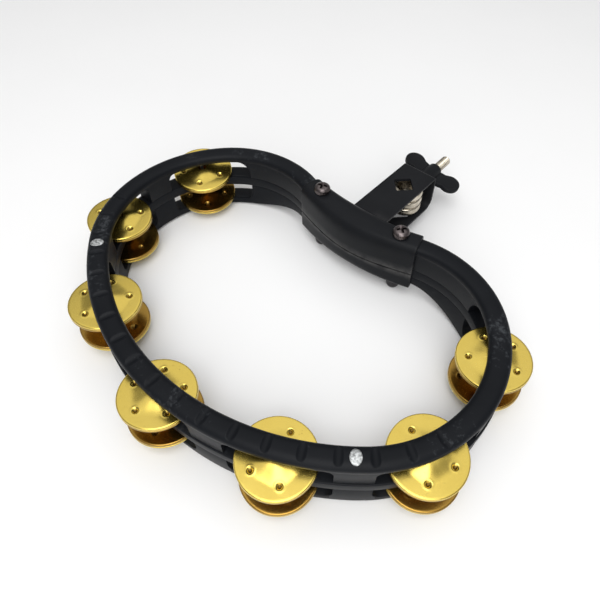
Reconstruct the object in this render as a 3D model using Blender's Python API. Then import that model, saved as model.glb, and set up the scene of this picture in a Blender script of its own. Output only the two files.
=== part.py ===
"""Mountable tambourine with a kidney-shaped rim.

The rim is moulded in three layers that are pinned, riveted and screwed together. Seven stations
each hold two pairs of brass jingles on one steel pin. Two clamp covers close over the rim's dent
and trap the foot of a steel bracket, where an eye bolt and a wing nut grip a stand rod.

Units are metres. +Z is up, +Y points from the rim's front towards the bracket, and the origin is
the middle of the object's underside.
"""
import bmesh
import bpy
from math import atan2, cos, pi, radians, sin, sqrt
from mathutils import Matrix, Vector

MM = 0.001
GAP = 0.3 * MM                      # air left between pieces that touch

# Rim outline: arcs from the front centre to the start of the dent, for one half
FRONT_RADIUS = 177.5 * MM
FRONT_ANGLE = radians(41.3)
SIDE_RADIUS = 84.3 * MM
SIDE_ANGLE = radians(92.0)
SHOULDER_RADIUS = 70.3 * MM
SHOULDER_ANGLE = radians(64.7)

# Rim section, heights above the rim's underside
RIM_HEIGHT = 50.0 * MM
WALL_HALF = 6.4 * MM
BEAD_HALF = 6.9 * MM
LOWER_SLOT_FLOOR = 5.8 * MM
BAND_BOTTOM = 20.4 * MM
BAND_TOP = 28.4 * MM
UPPER_SLOT_CEILING = 43.0 * MM
BEAD_START = 43.4 * MM
BEAD_FULL = 45.6 * MM
BEAD_SHOULDER = (5.7 * MM, 48.4 * MM)
BEAD_CROWN_HALF = 2.9 * MM
BAND_RIDGE = 0.9 * MM
BAND_RIDGE_BEHIND_FOOT = 0.1 * MM
BAND_RIDGE_CHAMFER = 1.0 * MM
RIM_BOTTOM_CHAMFER = 1.0 * MM
HANDLE_RISE = 13.5 * MM             # the rim is shallower in the dent, where the clamp grips it
HANDLE_RISE_START = 111.0 * MM      # distances from the middle of the dent
HANDLE_RISE_END = 48.0 * MM

# Jingle stations
STATION_PITCH = 81.1 * MM
SLOT_HALF_LENGTH = 30.0 * MM
SLOT_CORNER = (5.0 * MM, 5.0 * MM)          # along the rim, up
END_SLOT_REACH = 41.5 * MM                  # the outermost slots run on towards the dent
UPPER_END_CORNER = (11.0 * MM, 12.5 * MM)
LOWER_END_CORNER = (5.0 * MM, 9.0 * MM)
PIN_RADIUS = 1.5 * MM
PIN_BORE_RADIUS = 1.9 * MM
PIN_EMBED = 3.5 * MM
STATION_TILTS_DEG = (-9.0, -5.0, -4.0, -3.0, 4.0, 6.0, -3.0)   # positive droops outwards
STATION_SHIFTS_MM = ((-0.55, -0.5), (0.0, 0.0), (-1.0, 0.3), (-0.35, 0.9), (-1.0, 0.6), (0.0, 0.0),
                     (-0.8, -0.8))          # how each stack hangs on its pin: along, outwards

# Jingle profile
JINGLE_RADIUS = 23.1 * MM
JINGLE_HOLE_RADIUS = 3.2 * MM
JINGLE_DOME_RADIUS = 14.0 * MM
JINGLE_DOME_RISE = 2.7 * MM
JINGLE_LIP = 1.0 * MM
JINGLE_SHEET = 0.9 * MM
JINGLE_SEGMENTS = 16

# Rivets through the rim
RIVET_AT = 1.5 * STATION_PITCH
RIVET_HEAD_ALONG = 3.6 * MM
RIVET_HEAD_ACROSS = 4.5 * MM
RIVET_HEAD_THICKNESS = 1.6 * MM
RIVET_SHANK_RADIUS = 2.2 * MM

# Clamp covers
CLAMP_SHIFT = 4.2 * MM                      # the whole clamp sits a little right of the dent's middle
COVER_THICKNESS = 1.5 * MM
COVER_HALF_LENGTH = 49.5 * MM
COVER_END_HALF_WIDTH = 9.2 * MM
COVER_INNER_BULGE = 2.9 * MM
COVER_OUTER_BULGE = 2.0 * MM
COVER_TOP_CLEARANCE = 0.5 * MM
COVER_BOTTOM_CLEARANCE = 2.5 * MM
COVER_PARTING = 26.0 * MM
COVER_PARTING_GAP = 1.2 * MM
UPPER_INNER_CORNER = 11.0 * MM
UPPER_INNER_CORNER_GROWTH = 3.0 * MM        # from the cover's ends to its middle
UPPER_OUTER_CORNER = 8.0 * MM
UPPER_ROUNDNESS = 3.0                       # superellipse power, 2 is an ellipse
LOWER_INNER_CORNER = 5.0 * MM
LOWER_INNER_CORNER_GROWTH = 6.0 * MM
LOWER_OUTER_CORNER = 3.0 * MM
LOWER_ROUNDNESS = 4.0
LOWER_ROUNDNESS_DROP = 1.2

# Clamp screws, M6
SCREW_OFFSET = 35.2 * MM
SCREW_RADIUS = 3.0 * MM
SCREW_BORE_RADIUS = 3.4 * MM
SCREW_HEAD_RADIUS = 6.0 * MM
SCREW_HEAD_HEIGHT = 4.2 * MM
LOCK_WASHER_RADIUS = 5.6 * MM
LOCK_WASHER_THICKNESS = 1.2 * MM
SCREW_HEAD_CROWN = (0.6, 1.8 * MM)          # share of the head's radius, drop to its edge
NUT_RADIUS = 5.7 * MM
NUT_HEIGHT = 10.5 * MM
NUT_DOME = 3.4 * MM
NUT_FLANGE = 0.8 * MM

# Bracket, measured from the middle of the dent
BRACKET_WIDTH = 29.2 * MM
BRACKET_SHEET = 2.2 * MM
BRACKET_BOTTOM = 12.0 * MM
BRACKET_TOP = 42.5 * MM
BRACKET_LOWER_BEND = 9.0 * MM
BRACKET_UPPER_BEND = 3.5 * MM
BRACKET_REACH = 84.0 * MM
BRACKET_FOOT_HALF_LENGTH = 22.0 * MM
BRACKET_FOOT_THICKNESS = 1.6 * MM
BRACKET_FOOT_INSET = 1.2 * MM           # below the foot, up to its lower edge
ROD_HOLE_REACH = 59.2 * MM
ROD_HOLE_SIDE = 13.2 * MM

# Eye bolt and wing nut, M8
EYE_REACH = 64.7 * MM
EYE_BORE_RADIUS = 7.6 * MM
EYE_RADIUS = 13.4 * MM
EYE_HEIGHT = 21.0 * MM
EYE_BANDS = 3
EYE_BAND_ROUNDING = 1.6 * MM
BOLT_RADIUS = 4.0 * MM
BOLT_BORE_RADIUS = 4.4 * MM
BOLT_TIP_REACH = 126.4 * MM
WING_BARREL_LENGTH = 25.0 * MM
WING_BASE_RADIUS = 7.6 * MM
WING_END_RADIUS = 6.2 * MM
WING_LOBE_OFFSET = 17.8 * MM
WING_LOBE_ALONG = 19.2 * MM
WING_LOBE_HALF = 8.6 * MM
WING_LOBE_THICKNESS = 3.8 * MM
WING_ROTATION = radians(10.0)

# Heights in the world: the clamp nuts are the lowest pieces
COVER_UNDERSIDE = NUT_HEIGHT + GAP
RIM_BASE = COVER_UNDERSIDE + COVER_THICKNESS + COVER_BOTTOM_CLEARANCE - HANDLE_RISE
BOLT_HEIGHT = RIM_BASE + 0.5 * (BRACKET_BOTTOM + BRACKET_TOP)


def arc_step(point, heading, radius, angle, offset=0.0):
    """Walk an arc from point: left for a positive radius, right for a negative one."""
    turn = angle if radius > 0 else -angle
    centre = Vector((point.x - radius * sin(heading), point.y + radius * cos(heading)))
    end = heading + turn
    reach = radius + offset
    return Vector((centre.x + reach * sin(end), centre.y - reach * cos(end))), end


def rim_arcs():
    """The half outline's arcs; the dent closes the chain on the plane of symmetry."""
    arcs = [(FRONT_RADIUS, FRONT_ANGLE), (SIDE_RADIUS, SIDE_ANGLE), (SHOULDER_RADIUS, SHOULDER_ANGLE)]
    point, heading = Vector((0.0, 0.0)), 0.0
    for radius, angle in arcs:
        point, heading = arc_step(point, heading, radius, angle)
    dent_angle = heading - pi
    dent_radius = point.x / sin(dent_angle)
    arcs.append((-dent_radius, dent_angle))
    dent_bottom, _ = arc_step(point, heading, -dent_radius, dent_angle)
    return arcs, dent_bottom.y


ARCS, DENT_Y = rim_arcs()
HALF_LENGTH = sum(abs(radius) * angle for radius, angle in ARCS)
CLAMP_STATION = HALF_LENGTH - CLAMP_SHIFT

# The origin is the middle of the box from the front jingles' outer edge to the bolt tip
FRONT_TILT = radians(STATION_TILTS_DEG[3])
FRONT_SHIFT = STATION_SHIFTS_MM[3][1] * MM
JINGLE_EDGE = JINGLE_LIP + JINGLE_SHEET
FRONT_EDGE = -FRONT_SHIFT - JINGLE_RADIUS * cos(FRONT_TILT) - JINGLE_EDGE * abs(sin(FRONT_TILT))
ORIGIN_Y = 0.5 * (FRONT_EDGE + DENT_Y + BOLT_TIP_REACH)
BRACKET_ORIGIN_Y = DENT_Y - ORIGIN_Y


def rim_point(station, offset=0.0):
    """Point on the rim at a distance along it from the front centre, offset outwards."""
    distance = (station + HALF_LENGTH) % (2.0 * HALF_LENGTH) - HALF_LENGTH
    side = -1.0 if distance < 0.0 else 1.0
    left = abs(distance)
    point, heading = Vector((0.0, 0.0)), 0.0
    for radius, angle in ARCS:
        length = abs(radius) * angle
        if left <= length or (radius, angle) == ARCS[-1]:
            point, heading = arc_step(point, heading, radius, left / abs(radius), offset)
            break
        left -= length
        point, heading = arc_step(point, heading, radius, angle)
    return Vector((side * point.x, point.y - ORIGIN_Y))


def rim_outward(station):
    """Unit vector that points out of the rim, in plan."""
    return (rim_point(station, MM) - rim_point(station)) / MM


def clear_scene():
    for old in list(bpy.data.objects):
        bpy.data.objects.remove(old, do_unlink=True)


def plain_material(name, colour, roughness, metallic):
    material = bpy.data.materials.new(name)
    material.use_nodes = True
    shader = material.node_tree.nodes["Principled BSDF"]
    shader.inputs["Base Color"].default_value = (*colour, 1.0)
    shader.inputs["Roughness"].default_value = roughness
    shader.inputs["Metallic"].default_value = metallic
    return material


MATERIALS = {
    "rim_plastic": ((0.020, 0.022, 0.026), 0.45, 0.0),
    "coated_steel": ((0.018, 0.019, 0.021), 0.50, 0.0),
    "brass": ((0.72, 0.52, 0.14), 0.22, 1.0),
    "black_nickel": ((0.12, 0.10, 0.10), 0.30, 1.0),
    "nickel": ((0.66, 0.62, 0.54), 0.28, 1.0),
    "aluminium": ((0.80, 0.81, 0.82), 0.35, 1.0),
}


def make_object(name, shape, finish):
    """Turn a bmesh into a named object with its own material."""
    bmesh.ops.recalc_face_normals(shape, faces=shape.faces)
    mesh = bpy.data.meshes.new(name)
    shape.to_mesh(mesh)
    shape.free()
    mesh.shade_smooth()
    mesh.set_sharp_from_angle(angle=radians(32.0))
    mesh.materials.append(plain_material(name, *MATERIALS[finish]))
    piece = bpy.data.objects.new(name, mesh)
    bpy.context.scene.collection.objects.link(piece)
    return piece


def loft(rings, closed):
    """Skin a row of equal loops of points; an open row gets a cap at each end."""
    shape = bmesh.new()
    loops = [[shape.verts.new(point) for point in ring] for ring in rings]
    count = len(loops[0])
    pairs = list(zip(loops, loops[1:]))
    if closed:
        pairs.append((loops[-1], loops[0]))
    for near, far in pairs:
        for i in range(count):
            j = (i + 1) % count
            shape.faces.new((near[i], near[j], far[j], far[i]))
    if not closed:
        shape.faces.new(loops[0])
        shape.faces.new(loops[-1])
    return shape


def turned(profile, segments, axis="Z"):
    """Turn a closed profile of (radius, height) points about an axis."""
    rings = []
    for k in range(segments):
        angle = 2.0 * pi * k / segments
        if axis == "Z":
            rings.append([(r * cos(angle), r * sin(angle), h) for r, h in profile])
        else:
            rings.append([(r * cos(angle), h, r * sin(angle)) for r, h in profile])
    return loft(rings, closed=True)


def prism(outline, low, high, axis="Z"):
    """Extrude a plan outline between two levels."""
    if axis == "Z":
        rings = [[(a, b, level) for a, b in outline] for level in (low, high)]
    elif axis == "Y":
        rings = [[(a, level, b) for a, b in outline] for level in (low, high)]
    else:
        rings = [[(level, a, b) for a, b in outline] for level in (low, high)]
    return loft(rings, closed=False)


def ellipse(half_a, half_b, segments, start=0.0):
    steps = [start + 2.0 * pi * k / segments for k in range(segments)]
    return [(half_a * cos(t), half_b * sin(t)) for t in steps]


def join_shapes(shapes):
    """Put several bodies that don't touch into one bmesh."""
    total = bmesh.new()
    for shape in shapes:
        mesh = bpy.data.meshes.new("piece")
        bmesh.ops.recalc_face_normals(shape, faces=shape.faces)
        shape.to_mesh(mesh)
        shape.free()
        total.from_mesh(mesh)
        bpy.data.meshes.remove(mesh)
    return total


def moved(shape, offset, turn=None):
    matrix = Matrix.Translation(offset)
    if turn is not None:
        matrix = matrix @ turn
    shape.transform(matrix)
    return shape


def boolean(piece, tool_shape, operation="DIFFERENCE"):
    """Cut or join a hidden tool into a piece with an exact Boolean."""
    tool = make_object(piece.name + "_tool", tool_shape, "nickel")
    tool.hide_render = True
    tool.display_type = "WIRE"
    modifier = piece.modifiers.new(operation.lower(), "BOOLEAN")
    modifier.operation = operation
    modifier.solver = "EXACT"
    modifier.object = tool
    return modifier


def apply_modifiers(piece):
    """Bake the modifiers, so that the hidden tools can go."""
    evaluated = piece.evaluated_get(bpy.context.evaluated_depsgraph_get())
    mesh = bpy.data.meshes.new_from_object(evaluated)
    tools = [m.object for m in piece.modifiers if m.type == "BOOLEAN"]
    piece.modifiers.clear()
    piece.data = mesh
    for tool in tools:
        bpy.data.objects.remove(tool, do_unlink=True)


def place_on_rim(station, offset=0.0, height=0.0):
    point = rim_point(station, offset)
    return Vector((point.x, point.y, RIM_BASE + height))


# ---------------------------------------------------------------- rim

STATIONS = [STATION_PITCH * k for k in range(-3, 4)]
HANDLE_STEP = 11.0 * MM
SLOT_STEP = 8.0 * MM
BAND_SECTIONS = 84
RIDGE_CLEARANCE = 12.0 * MM
EDGE_STEP = 0.02 * MM


def slot_corner(size, plain, slot, steps):
    """(distance from the slot's end, level) pairs round a quarter-ellipse corner."""
    along, up = size
    rise = up if slot > plain else -up
    corner = []
    for step in range(steps + 1):
        angle = 0.5 * pi * step / steps
        corner.append((along * (1.0 - cos(angle)), slot - rise * (1.0 - sin(angle))))
    return corner


def slot_edge_levels(plain, slot, end_corner):
    """(station, level) pairs along the rim's slotted edge, with rounded slot corners."""
    levels = []
    small = slot_corner(SLOT_CORNER, plain, slot, 2)
    large = slot_corner(end_corner, plain, slot, 4)
    for centre in STATIONS:
        first, last = centre == STATIONS[0], centre == STATIONS[-1]
        start = centre - (END_SLOT_REACH if first else SLOT_HALF_LENGTH)
        end = centre + (END_SLOT_REACH if last else SLOT_HALF_LENGTH)
        levels.append((start - EDGE_STEP, plain))
        levels += [(start + along, level) for along, level in (large if first else small)]
        levels += [(centre + k * SLOT_STEP, slot) for k in range(-2, 3)]
        levels += [(end - along, level) for along, level in reversed(large if last else small)]
        levels.append((end + EDGE_STEP, plain))
        if not last:
            levels.append((centre + 0.5 * STATION_PITCH, plain))
    handle_start = STATIONS[-1] + END_SLOT_REACH
    handle = 2.0 * (HALF_LENGTH - handle_start)
    count = int(handle / HANDLE_STEP)
    levels += [(handle_start + handle * k / count, plain) for k in range(1, count)]
    return levels


def upper_section(underside):
    half = [(WALL_HALF, underside), (WALL_HALF, BEAD_START), (BEAD_HALF, BEAD_FULL),
            BEAD_SHOULDER, (BEAD_CROWN_HALF, RIM_HEIGHT)]
    return [(-u, z) for u, z in half] + half[::-1]


def handle_rise(station):
    """Height of the rim's underside, which rises smoothly into the dent."""
    reach = abs(abs(station) - HALF_LENGTH)
    share = (HANDLE_RISE_START - reach) / (HANDLE_RISE_START - HANDLE_RISE_END)
    share = min(1.0, max(0.0, share))
    return HANDLE_RISE * share * share * (3.0 - 2.0 * share)


def lower_section(station, topside):
    foot = WALL_HALF - RIM_BOTTOM_CHAMFER
    low = handle_rise(station)
    half = [(foot, low), (WALL_HALF, low + RIM_BOTTOM_CHAMFER), (WALL_HALF, topside)]
    return [(-u, z) for u, z in half] + half[::-1]


def band_section(station):
    """The band stands proud of the wall outside, except behind the bracket's foot."""
    low, high = BAND_BOTTOM + GAP, BAND_TOP - GAP
    behind_foot = abs(station - CLAMP_STATION) < BRACKET_FOOT_HALF_LENGTH + RIDGE_CLEARANCE
    ridge = WALL_HALF + (BAND_RIDGE_BEHIND_FOOT if behind_foot else BAND_RIDGE)
    return [(-WALL_HALF, low), (-WALL_HALF, high), (WALL_HALF, high),
            (ridge, high - BAND_RIDGE_CHAMFER), (ridge, low + BAND_RIDGE_CHAMFER), (WALL_HALF, low)]


def section_on_rim(station, section):
    ring = []
    for offset, height in section:
        ring.append(place_on_rim(station, offset, height))
    return ring


def bores(radius, low, high, stations, segments):
    """Vertical cutters through the rim at several stations."""
    shapes = []
    for station in stations:
        bore = prism(ellipse(radius, radius, segments), low, high)
        shapes.append(moved(bore, place_on_rim(station)))
    return shapes


def rivet_turn(station):
    """Turn that lays X along the rim and Y across it."""
    outward = rim_outward(station)
    return Matrix.Rotation(atan2(outward.y, outward.x) - 0.5 * pi, 4, "Z")


def rivet_shapes(clearance, low, high, head_top):
    shapes = []
    for station in (-RIVET_AT, RIVET_AT):
        turn = rivet_turn(station)
        radius = RIVET_SHANK_RADIUS + clearance
        head_low = RIM_HEIGHT - RIVET_HEAD_THICKNESS - clearance
        outline = ellipse(RIVET_HEAD_ALONG + clearance, RIVET_HEAD_ACROSS + clearance, 16)
        rings = [[(a, b, z) for a, b in ellipse(radius, radius, 16)] for z in (low, min(high, head_low))]
        if high > head_low:
            rings += [[(a, b, z) for a, b in outline] for z in (head_low, head_top)]
        shapes.append(moved(loft(rings, closed=False), place_on_rim(station), turn))
    return shapes


def build_rim():
    screw_stations = [CLAMP_STATION - SCREW_OFFSET, CLAMP_STATION + SCREW_OFFSET]
    over, under = RIM_HEIGHT + 2.0 * MM, -2.0 * MM
    layers = {}

    edge = slot_edge_levels(BAND_TOP, UPPER_SLOT_CEILING, UPPER_END_CORNER)
    rings = [section_on_rim(s, upper_section(level)) for s, level in edge]
    layers["frame_upper"] = (rings, UPPER_SLOT_CEILING + PIN_EMBED + GAP, over)

    edge = slot_edge_levels(BAND_BOTTOM, LOWER_SLOT_FLOOR, LOWER_END_CORNER)
    rings = [section_on_rim(s, lower_section(s, level)) for s, level in edge]
    layers["frame_lower"] = (rings, over, under)

    stations = [2.0 * HALF_LENGTH * k / BAND_SECTIONS for k in range(BAND_SECTIONS)]
    rings = [section_on_rim(s, band_section(s)) for s in stations]
    layers["frame_middle"] = (rings, over, under)

    for name, (rings, pin_top, top) in layers.items():
        piece = make_object(name, loft(rings, closed=True), "rim_plastic")
        tools = bores(SCREW_BORE_RADIUS, under, over, screw_stations, 12)
        tools += bores(PIN_BORE_RADIUS, under, pin_top, STATIONS, 8)
        tools += rivet_shapes(GAP, under, over, over)
        boolean(piece, join_shapes(tools))
        apply_modifiers(piece)


def build_rivets():
    shapes = rivet_shapes(0.0, 0.4 * MM, RIM_HEIGHT, RIM_HEIGHT + 0.2 * MM)
    for shape, name in zip(shapes, ("rivet_left", "rivet_right")):
        make_object(name, shape, "aluminium")


# ---------------------------------------------------------------- jingles

def jingle_profile():
    """Closed profile of a domed disc with a turned lip, dome upwards, lip on the plane z = 0."""
    plate = JINGLE_LIP + JINGLE_SHEET
    crown = plate + JINGLE_DOME_RISE
    return [(JINGLE_HOLE_RADIUS, crown), (JINGLE_DOME_RADIUS, plate), (JINGLE_RADIUS, plate),
            (JINGLE_RADIUS, 0.0), (JINGLE_DOME_RADIUS, JINGLE_LIP),
            (JINGLE_HOLE_RADIUS, crown - JINGLE_SHEET)]


def reach_in_slot(tilt):
    """How far a tilted jingle stands off the pair's middle plane inside the rim's wall."""
    crown = JINGLE_LIP + JINGLE_SHEET + JINGLE_DOME_RISE
    slope = JINGLE_DOME_RISE / (JINGLE_DOME_RADIUS - JINGLE_HOLE_RADIUS)
    reach = 0.0
    for offset in (JINGLE_HOLE_RADIUS, WALL_HALF + 0.8 * MM):
        height = crown - slope * (offset - JINGLE_HOLE_RADIUS)
        reach = max(reach, height * cos(tilt) + offset * sin(abs(tilt)))
    return reach


def build_jingles():
    for number, station in enumerate(STATIONS, start=1):
        tilt = radians(STATION_TILTS_DEG[number - 1])
        shift_along, shift_out = STATION_SHIFTS_MM[number - 1]
        outward = rim_outward(station)
        along = Vector((-outward.y, outward.x, 0.0))
        turn = Matrix.Rotation(tilt, 4, along)
        shift = (along * shift_along + outward.to_3d() * shift_out) * MM
        for row, floor in (("lower", LOWER_SLOT_FLOOR), ("upper", BAND_TOP - GAP)):
            middle = floor + GAP + reach_in_slot(tilt) + 0.5 * GAP
            for end, side in (("bottom", -1.0), ("top", 1.0)):
                profile = [(r, side * (h + 0.5 * GAP)) for r, h in jingle_profile()]
                shape = turned(profile, JINGLE_SEGMENTS)
                moved(shape, place_on_rim(station, 0.0, middle) + shift, turn)
                make_object(f"jingle_{number}_{row}_{end}", shape, "brass")
        low, high = 0.6 * MM, UPPER_SLOT_CEILING + PIN_EMBED
        pin = prism(ellipse(PIN_RADIUS, PIN_RADIUS, 8), low, high)
        make_object(f"jingle_pin_{number}", moved(pin, place_on_rim(station)), "nickel")


# ---------------------------------------------------------------- clamp

def cover_bump(station):
    """1 at the middle of the clamp, falling smoothly to 0 at the covers' ends."""
    return cos(0.5 * pi * (station - CLAMP_STATION) / COVER_HALF_LENGTH) ** 2


def rounded_half(half_width, crown, corner, power, steps):
    """Quarter of a superellipse, from the side wall to the crown."""
    points = []
    for k in range(steps + 1):
        angle = 0.5 * pi * k / steps
        across = half_width * cos(angle) ** (2.0 / power)
        up = crown - corner * (1.0 - sin(angle) ** (2.0 / power))
        points.append((across, up))
    return points


def cover_skin(bump, inset, crown, parting, inner_corner, outer_corner, power):
    """Open profile of one side of the cover's sheet, from the inner wall over to the outer wall."""
    inner = COVER_END_HALF_WIDTH + COVER_INNER_BULGE * bump - inset
    outer = COVER_END_HALF_WIDTH + COVER_OUTER_BULGE * bump - inset
    left = [(-u, z) for u, z in rounded_half(inner, crown, inner_corner, power, 4)]
    right = rounded_half(outer, crown, outer_corner, power, 4)[:-1]
    return [(-inner, parting)] + left + right[::-1] + [(outer, parting)]


def cover_rings(crown, parting, up):
    """Sections of a cover; up is 1 for the upper cover and -1 for the lower one."""
    rings = []
    for k in range(15):
        station = CLAMP_STATION + COVER_HALF_LENGTH * (k - 7) / 7.0
        bump = cover_bump(station)
        if up > 0:
            inner_corner = UPPER_INNER_CORNER + UPPER_INNER_CORNER_GROWTH * bump
            shape = (parting, inner_corner, UPPER_OUTER_CORNER, UPPER_ROUNDNESS)
        else:
            inner_corner = LOWER_INNER_CORNER + LOWER_INNER_CORNER_GROWTH * bump
            roundness = LOWER_ROUNDNESS - LOWER_ROUNDNESS_DROP * bump
            shape = (parting, -inner_corner, -LOWER_OUTER_CORNER, roundness)
        outside = cover_skin(bump, 0.0, crown, *shape)
        inside = cover_skin(bump, COVER_THICKNESS, crown - up * COVER_THICKNESS, *shape)
        rings.append(section_on_rim(station, outside + inside[::-1]))
    return rings


def bracket_window():
    """Opening in the covers' outer wall that the bracket comes out of."""
    half = 0.5 * BRACKET_WIDTH + GAP
    wall = BRACKET_ORIGIN_Y + WALL_HALF + 1.8 * MM
    left, right = CLAMP_SHIFT - half, CLAMP_SHIFT + half
    outline = [(left, wall), (right, wall), (right, wall + 12.0 * MM), (left, wall + 12.0 * MM)]
    return prism(outline, RIM_BASE + BRACKET_BOTTOM - GAP, RIM_BASE + BRACKET_TOP + GAP)


def build_covers():
    top = RIM_HEIGHT + COVER_TOP_CLEARANCE + COVER_THICKNESS
    bottom = HANDLE_RISE - COVER_BOTTOM_CLEARANCE - COVER_THICKNESS
    half_gap = 0.5 * COVER_PARTING_GAP
    for name, crown, parting, up in (("clamp_cover_upper", top, COVER_PARTING + half_gap, 1),
                                     ("clamp_cover_lower", bottom, COVER_PARTING - half_gap, -1)):
        piece = make_object(name, loft(cover_rings(crown, parting, up), closed=False), "coated_steel")
        stations = (CLAMP_STATION - SCREW_OFFSET, CLAMP_STATION + SCREW_OFFSET)
        tools = bores(SCREW_BORE_RADIUS, -6.0 * MM, RIM_HEIGHT + 6.0 * MM, stations, 12)
        boolean(piece, join_shapes(tools + [bracket_window()]))
        apply_modifiers(piece)


def build_screws():
    cover_top = RIM_BASE + RIM_HEIGHT + COVER_TOP_CLEARANCE + COVER_THICKNESS
    washer_low = cover_top + GAP
    washer_high = washer_low + LOCK_WASHER_THICKNESS
    head_low = washer_high + GAP
    head_high = head_low + SCREW_HEAD_HEIGHT
    crown, crown_drop = SCREW_HEAD_CROWN
    for side, station in (("left", CLAMP_STATION + SCREW_OFFSET), ("right", CLAMP_STATION - SCREW_OFFSET)):
        at = rim_point(station)
        place = Vector((at.x, at.y, 0.0))
        bore = SCREW_RADIUS + GAP

        washer = turned([(bore, washer_low), (LOCK_WASHER_RADIUS, washer_low),
                         (LOCK_WASHER_RADIUS, washer_high), (bore, washer_high)], 16)
        make_object(f"lock_washer_{side}", moved(washer, place), "black_nickel")

        levels = [(SCREW_RADIUS, 1.0 * MM), (SCREW_RADIUS, head_low), (SCREW_HEAD_RADIUS, head_low),
                  (SCREW_HEAD_RADIUS, head_high - crown_drop), (crown * SCREW_HEAD_RADIUS, head_high)]
        rings = [[(a, b, z) for a, b in ellipse(r, r, 16)] for r, z in levels]
        make_object(f"clamp_screw_{side}", moved(loft(rings, closed=False), place), "black_nickel")

        profile = [(bore, 0.0), (0.62 * NUT_RADIUS, 0.0), (0.92 * NUT_RADIUS, NUT_DOME),
                   (NUT_RADIUS, NUT_HEIGHT - NUT_FLANGE), (NUT_RADIUS, NUT_HEIGHT), (bore, NUT_HEIGHT)]
        make_object(f"clamp_nut_{side}", moved(turned(profile, 12), place), "black_nickel")


# ---------------------------------------------------------------- bracket

def corner_arc(centre, radius, start, steps=4):
    """Quarter turn of an outline, counter-clockwise from the start angle."""
    points = []
    for k in range(steps + 1):
        angle = start + 0.5 * pi * k / steps
        points.append((centre[0] + radius * cos(angle), centre[1] + radius * sin(angle)))
    return points


def strap_outline(inset):
    """The bracket's strap seen from the side: out along the bottom, up, and back along the top."""
    low = RIM_BASE + BRACKET_BOTTOM + inset
    high = RIM_BASE + BRACKET_TOP - inset
    end = BRACKET_ORIGIN_Y + BRACKET_REACH - inset
    lower = BRACKET_LOWER_BEND - inset
    upper = BRACKET_UPPER_BEND - inset
    start = BRACKET_ORIGIN_Y + WALL_HALF + 1.5 * MM
    points = [(start, low)]
    points += corner_arc((end - lower, low + lower), lower, -0.5 * pi)
    points += corner_arc((end - upper, high - upper), upper, 0.0)
    return points + [(start, high)]


def bracket_foot():
    """Curved plate behind the covers' outer wall, in the shape of the dent."""
    rings = []
    inner = WALL_HALF + GAP
    outer = inner + BRACKET_FOOT_THICKNESS
    low = BRACKET_BOTTOM + BRACKET_FOOT_INSET
    high = BRACKET_TOP - 0.5 * MM
    for k in range(9):
        station = CLAMP_STATION + BRACKET_FOOT_HALF_LENGTH * (k - 4) / 4.0
        section = [(inner, low), (outer, low), (outer, high), (inner, high)]
        rings.append(section_on_rim(station, section))
    return loft(rings, closed=False)


def build_bracket():
    outline = strap_outline(0.0) + strap_outline(BRACKET_SHEET)[::-1]
    half = 0.5 * BRACKET_WIDTH
    strap = prism(outline, CLAMP_SHIFT - half, CLAMP_SHIFT + half, axis="X")
    piece = make_object("mounting_bracket", strap, "coated_steel")
    boolean(piece, bracket_foot(), "UNION")

    rod_y = BRACKET_ORIGIN_Y + ROD_HOLE_REACH
    corner = ROD_HOLE_SIDE / sqrt(2.0)
    diamond = [(0.0, rod_y - corner), (corner, rod_y), (0.0, rod_y + corner), (-corner, rod_y)]
    diamond = [(CLAMP_SHIFT + x, y) for x, y in diamond]
    rod_hole = prism(diamond, RIM_BASE, RIM_BASE + RIM_HEIGHT)

    wall_y = BRACKET_ORIGIN_Y + BRACKET_REACH
    bore = ellipse(BOLT_BORE_RADIUS, BOLT_BORE_RADIUS, 16)
    circle = [(CLAMP_SHIFT + a, BOLT_HEIGHT + b) for a, b in bore]
    bolt_hole = prism(circle, wall_y - 6.0 * MM, wall_y + 6.0 * MM, axis="Y")
    boolean(piece, join_shapes([rod_hole, bolt_hole]))
    apply_modifiers(piece)


def build_eye_bolt():
    """Eye with rounded bands round its outside, and a shank that points out through the bracket."""
    half = 0.5 * EYE_HEIGHT
    band = EYE_HEIGHT / EYE_BANDS
    waist = EYE_RADIUS - EYE_BAND_ROUNDING
    profile = [(EYE_BORE_RADIUS, half), (EYE_BORE_RADIUS, -half), (waist, -half)]
    for k in range(EYE_BANDS):
        low = -half + k * band
        profile.append((EYE_RADIUS, low + 0.3 * band))
        profile.append((EYE_RADIUS, low + 0.7 * band))
        profile.append((waist, low + band))
    centre = Vector((CLAMP_SHIFT, BRACKET_ORIGIN_Y + EYE_REACH, BOLT_HEIGHT))
    piece = make_object("eye_bolt", moved(turned(profile, 24), centre), "nickel")
    start = centre.y + 0.5 * (EYE_BORE_RADIUS + EYE_RADIUS)
    tip = BRACKET_ORIGIN_Y + BOLT_TIP_REACH
    levels = ((BOLT_RADIUS, start), (BOLT_RADIUS, tip - 1.2 * MM), (BOLT_RADIUS - 1.0 * MM, tip))
    rings = []
    for radius, y in levels:
        rings.append([(CLAMP_SHIFT + a, y, BOLT_HEIGHT + b) for a, b in ellipse(radius, radius, 16)])
    boolean(piece, loft(rings, closed=False), "UNION")
    apply_modifiers(piece)


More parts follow.
